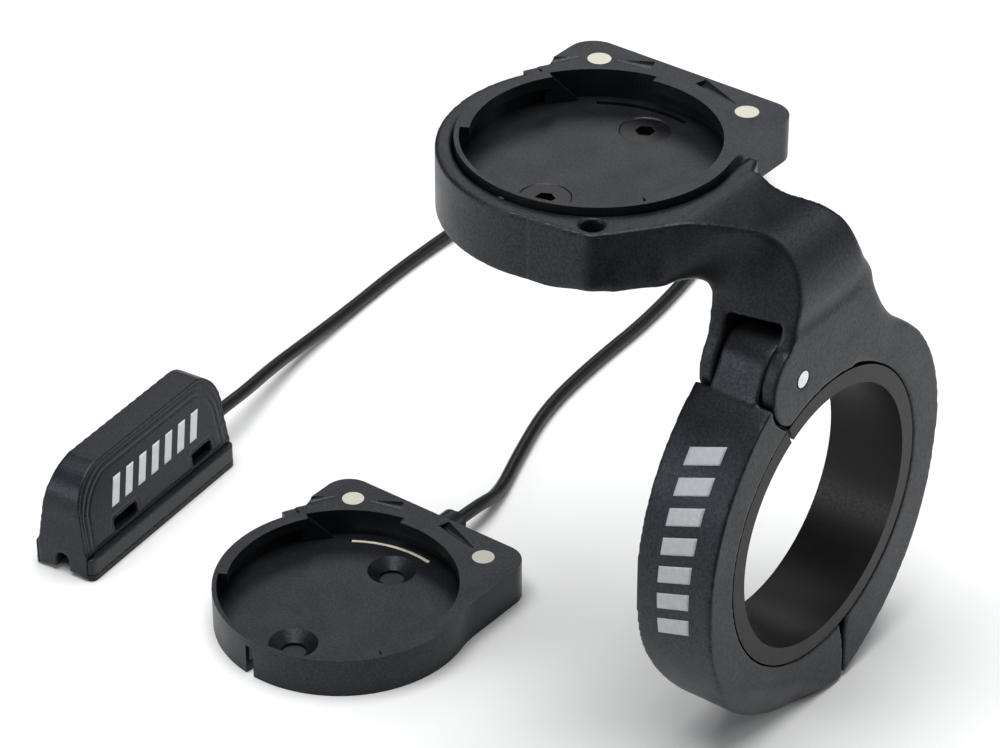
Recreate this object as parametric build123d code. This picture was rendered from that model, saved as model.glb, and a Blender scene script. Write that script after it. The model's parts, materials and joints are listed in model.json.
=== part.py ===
from build123d import *
import os
from math import atan2, cos, degrees, hypot, pi, radians, sin, sqrt, tan

# Handlebar mount, wired cradle and wheel-speed sensor of a cycling computer.
# Millimetres. Origin: centre of the handlebar bore. +X forward, +Y towards the stem, +Z up.

# ---- handlebar clamp ----
BAR_RADIUS = 15.9            # 31.8 mm handlebar
SLEEVE_RADIUS = 18.0         # outside of the rubber sleeve
SLEEVE_WIDTH = 9.8
SLEEVE_SLIT = 0.4
SLIT_ANGLE = 118.0
CLAMP_WIDTH = 10.0
CLAMP_INNER = 18.15
GAP_ANGLE = -77.0            # where the two clamp halves meet, from +X towards +Z
JAW_FRONT_RADIUS = 26.3      # outside of both halves at the gap

# ---- hinge ----
PIN_X = -6.1
PIN_Z = 21.4
PIN_RADIUS = 1.0
PIN_CLEARANCE = 0.05
EAR_RADIUS = 5.55
EAR_CLEARANCE = 0.3
KNUCKLE_RADIUS = 3.85
KNUCKLE_BACK_RADIUS = 5.1
KNUCKLE_WIDTH = 6.0
POCKET_RADIUS = 5.85
POCKET_WIDTH = 6.3
POCKET_TOP = 28.4              # flat ceiling of the pocket at the back of the arm
POCKET_FRONT_X = -5.0          # where that ceiling ends inside the arm

# ---- clamp screw, M3 with a low head ----
SCREW_DISTANCE = 21.8        # from the bar axis to the screw axis
SCREW_RADIUS = 1.5
THREAD_CORE_RADIUS = 1.25
SCREW_HOLE_RADIUS = 1.57
HEAD_RADIUS = 2.75
HEAD_HEIGHT = 2.0
COUNTERBORE_RADIUS = 2.95
WASHER_HEIGHT = 0.5
LUG_THICKNESS = 3.0          # from the gap to the counterbore floor
NUT_SIZE = 5.5
NUT_HEIGHT = 1.8
NUT_OFFSET = 1.5
HEX_SOCKET = 2.0             # across flats

# ---- arm and platform ----
ARM_BASE_Z = 24.5
BEND_RADIUS = 11.0
PLATFORM_TOP = 41.6
PLATFORM_BOTTOM = 33.8
NECK_BOTTOM = 33.5             # underside where the arm runs into the platform
BLEND_CORNER_RADIUS = 7.0
WALL_ENDS = ((0.8, 7.0), (1.4, 38.0))    # where the platform's wall stops beside the shoulder
BEND_Z = PLATFORM_TOP - BEND_RADIUS
PLATFORM_X = -6.9
PLATFORM_Y = 22.4
PLATFORM_RADIUS = 17.7
INNER_BEND_RADIUS = 2.0
INNER_BEND_HEIGHT = 3.0
TETHER_HOLE_RADIUS = 1.3
TETHER_BOSS_RADIUS = 2.3
TETHER_ANGLE = -145.0
TETHER_DISTANCE = 17.65

# ---- bayonet cradle, used twice ----
CRADLE_X = -6.7
CRADLE_Y = 22.7
CRADLE_TOP = 42.4
RIM_RADIUS = 15.5
LIP_RADIUS = 13.9
WALL_RADIUS = 14.95
LIP_ROOT = 15.2              # how far the lips run into the wall
LIP_THICKNESS = 1.4
RECESS_DEPTH = 3.5
CRADLE_THICKNESS = 5.0
SHOULDER_X = 17.9
SHOULDER_LEFT = 14.35
SHOULDER_RIGHT = -14.7
SHOULDER_BLEND = 12.0
CRADLE_SCREW_X = 9.2
CRADLE_HOLE_RADIUS = 1.55
SINK_RADIUS = 2.95
SINK_DEPTH = 1.1
SCOOPS = [                     # angles of the wide and the narrow end, distance, radius, height of the axis
    (58.5, 42.5, 17.8, 1.15, 0.25),
    (14.5, 28.5, 17.1, 0.95, 0.2),
    (-7.0, -28.0, 16.9, 0.8, 0.25),
]
CONTACT_X = 14.25
CONTACT_Y = 10.05
CONTACT_RADIUS = 1.35
CONTACT_HEIGHT = 2.4
COVER_THICKNESS = 1.0
ROOM_BACK = 15.6             # hollow channel inside the shoulder
ROOM_FRONT = 16.9
ROOM_LENGTH = 23.6
BAY_BACK = 13.0              # wider pocket round each contact
BAY_WIDTH = 3.6
SEAT_GAP = 0.25

# ---- loose wired set, lying on the plane that the clamp's lowest point touches ----
FLOOR_Z = -26.2
WIRED_X = -20.5
WIRED_Y = 48.8
CORD_RADIUS = 0.85
BOSS_Y = -1.0
BOSS_Z = -2.2
BOSS_RADIUS = 1.9
BOSS_END = 20.1
GROMMET_RADIUS = 1.25
GROMMET_END = 20.9

SENSOR_X = -19.2
SENSOR_Y = 82.9
SENSOR_YAW = 6.0
SENSOR_LENGTH = 25.7
BASE_WIDTH = 7.5
BASE_HEIGHT = 2.6
PAD_THICKNESS = 0.6
SADDLE_RADIUS = 14.0
SADDLE_RISE = 0.5
HOUSING_WIDTH = 6.2
HOUSING_HEIGHT = 9.3
HOUSING_TAPER = 0.15         # how far each side leans in, per millimetre of height
SENSOR_CABLE_Z = 4.0
SENSOR_EXIT_X = 13.6
SENSOR_SCALE = 1.18            # all the sensor's pieces are drawn at the sizes above, then enlarged

# ---- cord from the wired cradle to the sensor ----
COIL_X = 86.0
COIL_Y = 76.0
COIL_COLUMNS = 3
COIL_LAYERS = 4
COIL_MIDDLE_RADIUS = 9.3
TIE_THICKNESS = 0.6
TIE_WIDTH = 2.5

CORD_Z = FLOOR_Z + CORD_RADIUS
CRADLE_LEAD = [
    (0.4, 47.8, -23.4),
    (4.6, 47.8, -23.4),
    (10.0, 48.9, CORD_Z),
    (18.5, 52.3, CORD_Z),
    (29.0, 55.9, CORD_Z),
    (41.0, 57.4, CORD_Z),
    (53.0, 58.0, CORD_Z),
    (64.0, 59.6, CORD_Z),
    (76.0, 62.2, CORD_Z),
    (86.0, 64.9, -24.75),
]
SENSOR_LEAD = [
    (-3.24, 84.58, -21.48),
    (0.6, 85.0, -21.5),
    (4.8, 85.8, -22.1),
    (12.6, 87.9, -23.3),
    (20.8, 89.6, -24.6),
    (32.0, 91.0, CORD_Z),
    (44.0, 92.2, CORD_Z),
    (56.0, 92.6, CORD_Z),
    (66.0, 91.6, -24.0),
    (76.0, 89.2, -21.2),
    (86.0, 87.1, -19.65),
]

LOW = (Align.CENTER, Align.CENTER, Align.MIN)
HIGH = (Align.CENTER, Align.CENTER, Align.MAX)


def polar(angle, radius):
    """Point of the side view (X, Z) at an angle and a distance from the bar axis."""
    return (radius * cos(radians(angle)), radius * sin(radians(angle)))


def side_slab(edges, width):
    """Solid of a closed side outline (X, Z), centred on Y = 0."""
    return extrude(Plane.XZ * make_face(edges), width / 2, both=True)


def cross_pin(x, z, radius, width):
    """Cylinder along Y, centred on Y = 0."""
    return Pos(x, 0, z) * Rot(90, 0, 0) * Cylinder(radius, width)


def hexagon_socket(depth):
    """Cutter for a hex socket, with its mouth on Z = 0."""
    return extrude(RegularPolygon(HEX_SOCKET / sqrt(3), 6), -depth)


def fused(parts):
    """Union of several solids."""
    whole = parts[0]
    for part in parts[1:]:
        whole = whole + part
    return whole


# ---------------------------------------------------------------- clamp

def screw_plane():
    """Plane at the gap, Z along the clamp screw, square to the line from the hinge pin."""
    x, z = polar(GAP_ANGLE, SCREW_DISTANCE)
    reach = hypot(x - PIN_X, z - PIN_Z)
    along = ((PIN_Z - z) / reach, 0, (x - PIN_X) / reach)
    return Plane(origin=(x, 0, z), x_dir=(0, 1, 0), z_dir=along)


def clamp_half_on_arm():
    """The part of the clamp ring that is one piece with the arm, still solid inside."""
    neck_back = PIN_X - sqrt(EAR_RADIUS ** 2 - (ARM_BASE_Z - PIN_Z) ** 2)
    tip = polar(GAP_ANGLE - 0.2, JAW_FRONT_RADIUS)
    step = polar(GAP_ANGLE + 2.8, 20.5)
    front = polar(-5, 23.15)
    shoulder = polar(49, 23.75)
    neck_front = (9.5, ARM_BASE_Z)
    edges = [
        Line((0, 0), polar(GAP_ANGLE + 6, CLAMP_INNER)),
        Line(polar(GAP_ANGLE + 6, CLAMP_INNER), step),
        Line(step, tip),
        ThreePointArc(tip, polar(-38, 24.0), front),
        ThreePointArc(front, polar(22, 23.7), shoulder),
        ThreePointArc(shoulder, (12.0, 20.95), neck_front),
        Line(neck_front, (neck_back, ARM_BASE_Z)),
        Line((neck_back, ARM_BASE_Z), (PIN_X, PIN_Z)),
        Line((PIN_X, PIN_Z), (0, 0)),
    ]
    return side_slab(edges, CLAMP_WIDTH) + cross_pin(PIN_X, PIN_Z, EAR_RADIUS, CLAMP_WIDTH)


def neck_section(outer, inner, back_near, back_far, front):
    """Four-cornered section of the arm: (Y, Z) of its near and far edges, and X of its ends."""
    corners = [(back_near, *outer), (front, *outer), (front, *inner), (back_far, *inner)]
    return make_face(Polyline(*corners, close=True))


def arm_neck():
    """The arm from the ring up to the bend, then over into the platform."""
    far = CLAMP_WIDTH / 2
    top_far_z = NECK_BOTTOM - INNER_BEND_HEIGHT
    root = neck_section((-far, ARM_BASE_Z - 0.9), (far, ARM_BASE_Z - 0.9), -10.6, -10.6, 9.85)
    waist = neck_section((-far, 27.2), (far, 27.2), -8.2, -9.9, 8.1)
    upright = loft([root, waist], ruled=True)

    stations = [
        # angle round the bend, back edge on the near side, on the far side, front edge
        (0, -7.3, -9.8, 6.6),
        (20, -7.0, -10.4, 4.5),
        (40, -7.4, -11.6, 2.6),
        (56, -9.4, -13.4, -0.1),
        (72, -12.8, -15.2, -1.8),
        (90, -16.4, -16.6, -1.6),
    ]
    sections = [waist]
    for angle, back_near, back_far, front in stations:
        turn = radians(angle)
        outer = (BEND_RADIUS - far - BEND_RADIUS * cos(turn),
                 PLATFORM_TOP - BEND_RADIUS + BEND_RADIUS * sin(turn))
        inner = (far + INNER_BEND_RADIUS * (1 - cos(turn)), top_far_z + INNER_BEND_HEIGHT * sin(turn))
        sections.append(neck_section(outer, inner, back_near, back_far, front))
    return upright, loft(sections)


def platform_blend():
    """Wedge that carries the neck's back edge into the round platform, with a sloping underside."""
    corner = (-23.4, 11.3)
    outline = Polyline((-1.6, 6.0), (-16.4, 6.0), corner, (-24.28, 18.6), (-8.0, 22.0), close=True)
    plan = make_face(outline)
    turn = plan.vertices().sort_by_distance((*corner, 0))[0]
    wedge = extrude(fillet(turn, BLEND_CORNER_RADIUS), PLATFORM_TOP)
    under = Polyline((5.0, NECK_BOTTOM), (7.0, NECK_BOTTOM), (10.4, PLATFORM_BOTTOM), (23.0, PLATFORM_BOTTOM),
                     (23.0, PLATFORM_TOP), (5.0, PLATFORM_TOP), close=True)
    return wedge & extrude(Plane.YZ * make_face(under), 30, both=True)


def tether_spot():
    """Place of the small hole beside the cradle."""
    angle = radians(TETHER_ANGLE)
    return (CRADLE_X + TETHER_DISTANCE * cos(angle), CRADLE_Y + TETHER_DISTANCE * sin(angle))


def make_arm_body():
    """Arm, platform and the upper clamp half, moulded in one piece."""
    height = PLATFORM_TOP - PLATFORM_BOTTOM
    disc = Pos(PLATFORM_X, PLATFORM_Y, PLATFORM_BOTTOM) * Cylinder(PLATFORM_RADIUS, height, align=LOW)
    boss_x, boss_y = tether_spot()
    boss = Pos(boss_x, boss_y, PLATFORM_BOTTOM) * Cylinder(TETHER_BOSS_RADIUS, height, align=LOW)
    arm = fused([clamp_half_on_arm(), *arm_neck(), platform_blend(), disc, boss])

    arm = arm - cross_pin(0, 0, CLAMP_INNER, CLAMP_WIDTH + 2)
    arm = arm - cross_pin(PIN_X, PIN_Z, POCKET_RADIUS, POCKET_WIDTH)
    arm = arm - cross_pin(PIN_X, PIN_Z, PIN_RADIUS, CLAMP_WIDTH + 2)
    ceiling = Box(10, POCKET_WIDTH, POCKET_TOP - PIN_Z, align=(Align.MAX, Align.CENTER, Align.MIN))
    arm = arm - Pos(POCKET_FRONT_X, 0, PIN_Z) * ceiling

    seat = cradle_outline(SEAT_GAP)
    arm = arm - Pos(CRADLE_X, CRADLE_Y, CRADLE_TOP - CRADLE_THICKNESS) * extrude(seat, 10)
    arm = arm - Pos(boss_x, boss_y, 0) * Cylinder(TETHER_HOLE_RADIUS, 100)
    for end_x, end_y in WALL_ENDS:
        trim = Box(6, 3, height, align=(Align.MIN, Align.CENTER, Align.MIN))
        arm = arm - Pos(end_x, end_y, PLATFORM_BOTTOM) * trim
    for side in (-1, 1):
        place = Pos(CRADLE_X + side * CRADLE_SCREW_X, CRADLE_Y, CRADLE_TOP - CRADLE_THICKNESS)
        arm = arm - place * Cylinder(2.1, 3.2, align=HIGH)

    hole = Cylinder(SCREW_RADIUS + 0.25, 6.5, align=LOW)
    slot = Box(NUT_SIZE + 2.35, NUT_SIZE + 0.1, NUT_HEIGHT + 0.1, align=LOW)
    arm = arm - screw_plane() * Pos(0, 0, -1) * hole
    arm = arm - screw_plane() * Pos(1.15, 0, NUT_OFFSET - 0.05) * slot
    return arm


def make_clamp_jaw():
    """The hinged lower half of the clamp, with its knuckle between the arm's ears."""
    corner = polar(121, 23.7)
    tip = polar(GAP_ANGLE - 0.9, JAW_FRONT_RADIUS)
    step = polar(GAP_ANGLE + 1.0, 21.5)
    edges = [
        Line((0, 0), polar(GAP_ANGLE + 0.7, CLAMP_INNER)),
        Line(polar(GAP_ANGLE + 0.7, CLAMP_INNER), step),
        Line(step, tip),
        ThreePointArc(tip, polar(-90, 25.9), polar(-103, 25.3)),
        ThreePointArc(polar(-103, 25.3), polar(-135, 24.1), polar(-172, 22.6)),
        ThreePointArc(polar(-172, 22.6), polar(152, 22.6), corner),
        Line(corner, (PIN_X, PIN_Z)),
        Line((PIN_X, PIN_Z), (0, 0)),
    ]
    jaw = side_slab(edges, CLAMP_WIDTH)

    ear_room = cross_pin(PIN_X, PIN_Z, EAR_RADIUS + EAR_CLEARANCE, CLAMP_WIDTH + 2)
    keep = Box(60, KNUCKLE_WIDTH, 60)
    jaw = jaw - (ear_room - keep)
    back_of_knuckle = cross_pin(PIN_X, PIN_Z, KNUCKLE_BACK_RADIUS, KNUCKLE_WIDTH)
    back_half = Pos(PIN_X, 0, PIN_Z) * Box(20, 20, 20, align=(Align.MAX, Align.CENTER, Align.CENTER))
    fairing = side_slab([Polyline(corner, (PIN_X - 4.75, PIN_Z + 1.9), (PIN_X, PIN_Z), close=True)],
                        KNUCKLE_WIDTH)
    knuckle = cross_pin(PIN_X, PIN_Z, KNUCKLE_RADIUS, KNUCKLE_WIDTH)
    jaw = fused([jaw, knuckle, back_of_knuckle & back_half, fairing])
    jaw = jaw - cross_pin(0, 0, CLAMP_INNER, CLAMP_WIDTH + 2)
    jaw = jaw - cross_pin(PIN_X, PIN_Z, PIN_RADIUS + PIN_CLEARANCE, CLAMP_WIDTH + 2)

    jaw = jaw - screw_plane() * Pos(0, 0, 2) * Cylinder(SCREW_HOLE_RADIUS, 20, align=HIGH)
    counterbore = Cylinder(COUNTERBORE_RADIUS, 12, align=HIGH)
    return jaw - screw_plane() * Pos(0, 0, -LUG_THICKNESS) * counterbore


def make_clamp_sleeve():
    """Rubber ring between the clamp and the handlebar, slit beside the hinge."""
    ring = cross_pin(0, 0, SLEEVE_RADIUS, SLEEVE_WIDTH) - cross_pin(0, 0, BAR_RADIUS, 20)
    cutter = Box(30, 20, SLEEVE_SLIT, align=(Align.MIN, Align.CENTER, Align.CENTER))
    return ring - Rot(0, -SLIT_ANGLE, 0) * cutter


def make_clamp_screw():
    """Low-head hex-socket screw, at rest with its head against the washer."""
    under_head = -LUG_THICKNESS - WASHER_HEIGHT
    head = Pos(0, 0, under_head) * Cylinder(HEAD_RADIUS, HEAD_HEIGHT, align=HIGH)
    head = head - Pos(0, 0, under_head - HEAD_HEIGHT) * Rot(180, 0, 0) * hexagon_socket(1.2)
    shank = Pos(0, 0, -0.4) * Cylinder(SCREW_RADIUS, -under_head - 0.4, align=HIGH)
    thread = Pos(0, 0, 4.4) * Cylinder(THREAD_CORE_RADIUS, 4.8, align=HIGH)
    return screw_plane() * fused([head, shank, thread])


def make_clamp_washer():
    """Washer under the screw head."""
    ring = Cylinder(HEAD_RADIUS, WASHER_HEIGHT, align=HIGH) - Cylinder(SCREW_RADIUS + 0.1, 4)
    return screw_plane() * Pos(0, 0, -LUG_THICKNESS) * ring


def make_clamp_nut():
    """Square nut held in the arm's half of the clamp."""
    nut = Box(NUT_SIZE, NUT_SIZE, NUT_HEIGHT, align=LOW) - Cylinder(SCREW_RADIUS, 10)
    return screw_plane() * Pos(0, 0, NUT_OFFSET) * nut


# ---------------------------------------------------------------- cradle

def cradle_outline(grow=0.0):
    """Plan of the cradle: a round rim with a flat-fronted shoulder on +X."""
    left = SHOULDER_LEFT + grow
    right = SHOULDER_RIGHT - grow
    front = SHOULDER_X + grow
    corners = [(8.2, 13.0), (8.2, left), (front, left), (front, right), (4.9, right), (0, 0)]
    shoulder = make_face(Polyline(*corners, close=True))
    shoulder = fillet(shoulder.vertices().sort_by(Axis.X)[-2:], 3.2)
    step = make_face([
        Line((0, 0), polar(60, 16.5 + grow)),
        ThreePointArc(polar(60, 16.5 + grow), polar(63, 16.5 + grow), polar(66, 16.5 + grow)),
        Line(polar(66, 16.5 + grow), (0, 0)),
    ])
    outline = Circle(RIM_RADIUS + grow) + shoulder + step
    waist = outline.vertices().sort_by_distance((4.9, right, 0))[0]
    return fillet(waist, SHOULDER_BLEND)


def sector(start, end, inner, outer, low, high):
    """Ring sector between two angles in degrees, from one height to another."""
    middle = (start + end) / 2
    face = make_face([
        Line(polar(start, inner), polar(start, outer)),
        ThreePointArc(polar(start, outer), polar(middle, outer), polar(end, outer)),
        Line(polar(end, outer), polar(end, inner)),
        ThreePointArc(polar(end, inner), polar(middle, inner), polar(start, inner)),
    ])
    return extrude(Pos(0, 0, low) * face, high - low)


def scoop(start_angle, end_angle, radius, size, lift):
    """Tapering half-round groove along the top face, wide at its first end."""
    start = polar(start_angle, radius)
    end = polar(end_angle, radius)
    length = hypot(end[0] - start[0], end[1] - start[1])
    turn = degrees(atan2(end[1] - start[1], end[0] - start[0]))
    cone = Cone(size, 0.3, length, align=LOW)
    return Pos(start[0], start[1], lift) * Rot(0, 0, turn) * Rot(0, 90, 0) * cone


def shoulder_room(low, high):
    """Space inside the shoulder: a channel behind the front edge, and a bay round each contact."""
    height = high - low
    corner = (Align.MAX, Align.CENTER, Align.MIN)
    room = Pos(ROOM_FRONT, 0, low) * Box(ROOM_FRONT - ROOM_BACK, ROOM_LENGTH, height, align=corner)
    for side in (-1, 1):
        bay = Box(ROOM_FRONT - BAY_BACK, BAY_WIDTH, height, align=corner)
        room = room + Pos(ROOM_FRONT, side * CONTACT_Y, low) * bay
    return room


def make_cradle(wired):
    """Bayonet cradle in its own frame: rim top on Z = 0, shoulder towards +X."""
    body = extrude(cradle_outline(), -CRADLE_THICKNESS)
    body = body - Cylinder(WALL_RADIUS, RECESS_DEPTH, align=HIGH)
    body = body + sector(57, 120.6, LIP_RADIUS, LIP_ROOT, -LIP_THICKNESS, 0)
    body = body + sector(-122.7, 9.4, LIP_RADIUS, LIP_ROOT, -LIP_THICKNESS, 0)

    ramp_x, ramp_y = polar(51, 14.0)
    tangent = (-sin(radians(51)), cos(radians(51)), 0)
    outwards = (cos(radians(51)), sin(radians(51)), 0)
    ramp_plane = Plane(origin=(ramp_x, ramp_y, 0), x_dir=tangent, z_dir=outwards)
    low = -RECESS_DEPTH
    corners = [(-1.7, low), (-1.7, low - 0.3), (2.2, low - 0.3), (2.2, 0), (1.5, 0)]
    body = body + extrude(ramp_plane * make_face(Polyline(*corners, close=True)), 1.6)

    for side in (-1, 1):
        place = Pos(side * CRADLE_SCREW_X, 0, -RECESS_DEPTH)
        sink = Cone(CRADLE_HOLE_RADIUS, SINK_RADIUS, SINK_DEPTH, align=HIGH)
        body = body - place * Cylinder(CRADLE_HOLE_RADIUS, 6) - place * sink
        contact = Pos(CONTACT_X, side * CONTACT_Y, 0) * Cylinder(CONTACT_RADIUS, 20)
        body = body - contact
    for start, end, radius, size, lift in SCOOPS:
        body = body - scoop(start, end, radius, size, lift)
    body = body - sector(172.6, 177.0, 13, 20, -10, -1.0)
    body = body - shoulder_room(-6.0, -CONTACT_HEIGHT)
    body = body - sector(-11, 36, 13.2, 13.85, -RECESS_DEPTH - 0.7, -RECESS_DEPTH)
    if wired:
        boss = Rot(0, 90, 0) * Cylinder(BOSS_RADIUS, BOSS_END - ROOM_FRONT, align=LOW)
        body = body + Pos(ROOM_FRONT, BOSS_Y, BOSS_Z) * boss
        bore = Rot(0, 90, 0) * Cylinder(GROMMET_RADIUS, 8, align=LOW)
        body = body - Pos(ROOM_FRONT, BOSS_Y, BOSS_Z) * bore
    return body


def make_cradle_cover():
    """Plate that closes the shoulder from below."""
    floor = -CRADLE_THICKNESS
    return shoulder_room(floor, floor + COVER_THICKNESS)


def make_contacts():
    """Two round contact pins, flush with the shoulder's top."""
    pins = []
    for side in (-1, 1):
        pin = Cylinder(CONTACT_RADIUS, CONTACT_HEIGHT, align=HIGH)
        pins.append(Pos(CONTACT_X, side * CONTACT_Y, 0) * pin)
    return pins


def make_contact_leaves():
    """Two spring strips that lead from the contact pins to the middle of the shoulder."""
    leaves = []
    for side in (-1, 1):
        strip = Pos(16.2, side * 6.2, 0) * Box(0.9, 9.6, 0.25, align=HIGH)
        pad = Pos(15.0, side * CONTACT_Y, 0) * Box(3.2, 2.4, 0.25, align=HIGH)
        leaves.append(Pos(0, 0, -CONTACT_HEIGHT) * (strip + pad))
    return leaves


def make_cable_cores():
    """Two insulated cores from the cord to the contact strips, below the strips."""
    cores = []
    for side in (-1, 1):
        core = Rot(90, 0, 0) * Cylinder(0.35, 3.4)
        cores.append(Pos(16.25, side * 2.0, -CONTACT_HEIGHT - 0.65) * core)
    return cores


def make_contact_carrier():
    """Pale insulating strip that shows in the slot along the recess floor."""
    return sector(-10, 35, 13.25, 13.8, -RECESS_DEPTH - 0.7, -RECESS_DEPTH - 0.15)


def make_cradle_grommet():
    """Soft ring where the cord leaves the wired cradle."""
    ring = Cylinder(GROMMET_RADIUS, GROMMET_END - ROOM_FRONT, align=LOW)
    return Pos(ROOM_FRONT, BOSS_Y, BOSS_Z) * Rot(0, 90, 0) * ring


def make_cradle_screws():
    """Countersunk hex-socket screws that hold the cradle on the platform."""
    screws = []
    for side in (-1, 1):
        top = -RECESS_DEPTH - 0.1
        head = Cone(1.45, SINK_RADIUS - 0.15, 1.0, align=HIGH)
        shank = Cylinder(1.45, 4.2, align=HIGH)
        screw = head + shank - hexagon_socket(1.0)
        screws.append(Pos(side * CRADLE_SCREW_X, 0, top) * screw)
    return screws


def make_platform_inserts():
    """Threaded brass inserts under the cradle."""
    inserts = []
    for side in (-1, 1):
        tube = Cylinder(2.1, 3.2, align=HIGH) - Cylinder(1.5, 20)
        inserts.append(Pos(side * CRADLE_SCREW_X, 0, -CRADLE_THICKNESS) * tube)
    return inserts


# ---------------------------------------------------------------- sensor

def saddle(radius_growth):
    """Cylinder along X whose top is the sensor's hollow underside."""
    axis_z = SADDLE_RISE - SADDLE_RADIUS
    return Pos(0, 0, axis_z) * Rot(0, 90, 0) * Cylinder(SADDLE_RADIUS + radius_growth, 60)


def housing_outline(inset):
    """Side view of the sensor housing, above the base, drawn inwards by a wall thickness."""
    half = SENSOR_LENGTH / 2 - inset
    top = BASE_HEIGHT + HOUSING_HEIGHT - inset
    low = BASE_HEIGHT
    return [
        Line((-half, low), (-half + 0.2, low + 4.3)),
        ThreePointArc((-half + 0.2, low + 4.3), (-half + 1.5, top - 1.5), (-half + 4.2, top)),
        Line((-half + 4.2, top), (half - 3.6, top)),
        ThreePointArc((half - 3.6, top), (half - 1.3, top - 1.4), (half - 0.3, low + 4.2)),
        Line((half - 0.3, low + 4.2), (half, low)),
        Line((half, low), (-half, low)),
    ]


def tapered_prism(half_width, height):
    """Prism along X whose sides lean in as they rise from the top of the base."""
    low = BASE_HEIGHT
    lean = HOUSING_TAPER * height
    corners = [(-half_width, low), (half_width, low),
               (half_width - lean, low + height), (-half_width + lean, low + height)]
    return extrude(Plane.YZ * make_face(Polyline(*corners, close=True)), 30, both=True)


def clip_places():
    """Middle X and length of the two latch slots on each side."""
    return [(-5.6, 3.9), (7.95, 3.4)]


def make_sensor_housing():
    """Hollow shell of the sensor, with latch slots, a cable hole and a nose over the base."""
    outer = side_slab(housing_outline(0.0), 20) & tapered_prism(HOUSING_WIDTH / 2, 12)
    inner = side_slab(housing_outline(1.1), 20) & tapered_prism(HOUSING_WIDTH / 2 - 0.85, 12)
    nose = Pos(-SENSOR_LENGTH / 2, 0, 0) * Box(1.2, HOUSING_WIDTH, BASE_HEIGHT + 0.5,
                                                align=(Align.MIN, Align.CENTER, Align.MIN))
    shell = outer - inner + (nose - saddle(0.0))
    arch = Rot(0, 90, 0) * Cylinder(0.8, 6)
    shell = shell - Pos(-SENSOR_LENGTH / 2, 0, 1.6) * arch
    shell = shell - Pos(-SENSOR_LENGTH / 2, 0, 0) * Box(6, 1.6, 1.6, align=LOW)
    for middle, length in clip_places():
        shell = shell - Pos(middle, 0, BASE_HEIGHT + 0.5) * Box(length, 20, 1.4, align=LOW)
    cable = Rot(0, 90, 0) * Cylinder(GROMMET_RADIUS, 6)
    return shell - Pos(SENSOR_LENGTH / 2, 0, SENSOR_CABLE_Z) * cable


def make_sensor_base():
    """Clip-on base with a hollow underside and four latch hooks."""
    plate = Box(SENSOR_LENGTH, BASE_WIDTH, BASE_HEIGHT, align=LOW) - saddle(PAD_THICKNESS)
    plate = fillet(plate.edges().filter_by(Axis.Z), 0.9)
    plate = plate - Pos(-SENSOR_LENGTH / 2, 0, 0) * Box(2.6, HOUSING_WIDTH + 0.1, 9)
    hooks = []
    for middle, length in clip_places():
        for side in (-1, 1):
            place = Pos(middle, side * 1.6, BASE_HEIGHT - 0.5)
            hooks.append(place * Box(length - 0.4, 0.7, 1.9, align=LOW))
    return fused([plate] + hooks)


def make_sensor_pad():
    """Rubber pad bonded under the base, hollow to sit on a fork leg."""
    slab = Box(SENSOR_LENGTH, BASE_WIDTH, BASE_HEIGHT, align=LOW) & saddle(PAD_THICKNESS)
    slab = slab - saddle(0.0)
    slab = fillet(slab.edges().filter_by(Axis.Z), 0.9)
    return slab - Pos(-SENSOR_LENGTH / 2, 0, 0) * Box(2.6, HOUSING_WIDTH + 0.1, 9)


def make_sensor_board():
    """Small circuit board inside the sensor."""
    return Pos(0, 0, 6.4) * Box(19.0, 2.6, 0.8, align=LOW)


def make_reed_switch():
    """Glass reed switch on the board."""
    return Pos(-1.5, 0, 8.2) * Rot(0, 90, 0) * Cylinder(0.9, 12.0)


def make_sensor_potting():
    """Resin that fills the housing below the board."""
    return Pos(0, 0, 5.4) * Box(18.0, 2.8, 0.95, align=LOW)


def make_sensor_grommet():
    """Soft ring where the cord enters the sensor."""
    start = SENSOR_LENGTH / 2 - 1.6
    ring = Cylinder(GROMMET_RADIUS, SENSOR_EXIT_X - start, align=LOW)
    return Pos(start, 0, SENSOR_CABLE_Z) * Rot(0, 90, 0) * ring


# ---------------------------------------------------------------- cord

def corner_radii(points):
    """Largest tangent arc for each corner: 0.45 of the shorter run over tan(half the turn)."""
    radii = []
    for before, here, after in zip(points, points[1:], points[2:]):
        first = Vector(*here) - Vector(*before)
        second = Vector(*after) - Vector(*here)
        half_turn = radians(first.get_angle(second)) / 2
        radii.append(0.45 * min(first.length, second.length) / tan(half_turn))
    return radii


def make_cord(points, label):
    """Round tube along straight runs joined by tangent arcs."""
    radii = corner_radii(points)
    path = FilletPolyline(*points, radius=radii)
    profile = Plane(origin=path @ 0, z_dir=path % 0) * Circle(CORD_RADIUS)
    tube = sweep(profile, path=path)
    expected = pi * CORD_RADIUS ** 2 * path.length
    print(label, "length", round(path.length, 1), "volume/expected", round(tube.volume / expected, 4),
          "radii", [round(radius, 1) for radius in radii])
    return tube


def coil_bounds():
    """Inner radius, outer radius, bottom and height of the coiled length."""
    half_width = COIL_COLUMNS * CORD_RADIUS
    bottom = FLOOR_Z + TIE_THICKNESS
    height = COIL_LAYERS * 2 * CORD_RADIUS
    return COIL_MIDDLE_RADIUS - half_width, COIL_MIDDLE_RADIUS + half_width, bottom, height


def make_cord_coil():
    """Outer shape of the put-away length of cord."""
    inner, outer, bottom, height = coil_bounds()
    turns = COIL_COLUMNS * COIL_LAYERS
    print("coil turns", turns, "length", round(turns * 2 * pi * COIL_MIDDLE_RADIUS, 1))
    ring = Cylinder(outer, height, align=LOW) - Cylinder(inner, 3 * height)
    return Pos(COIL_X, COIL_Y, bottom) * ring


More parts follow.
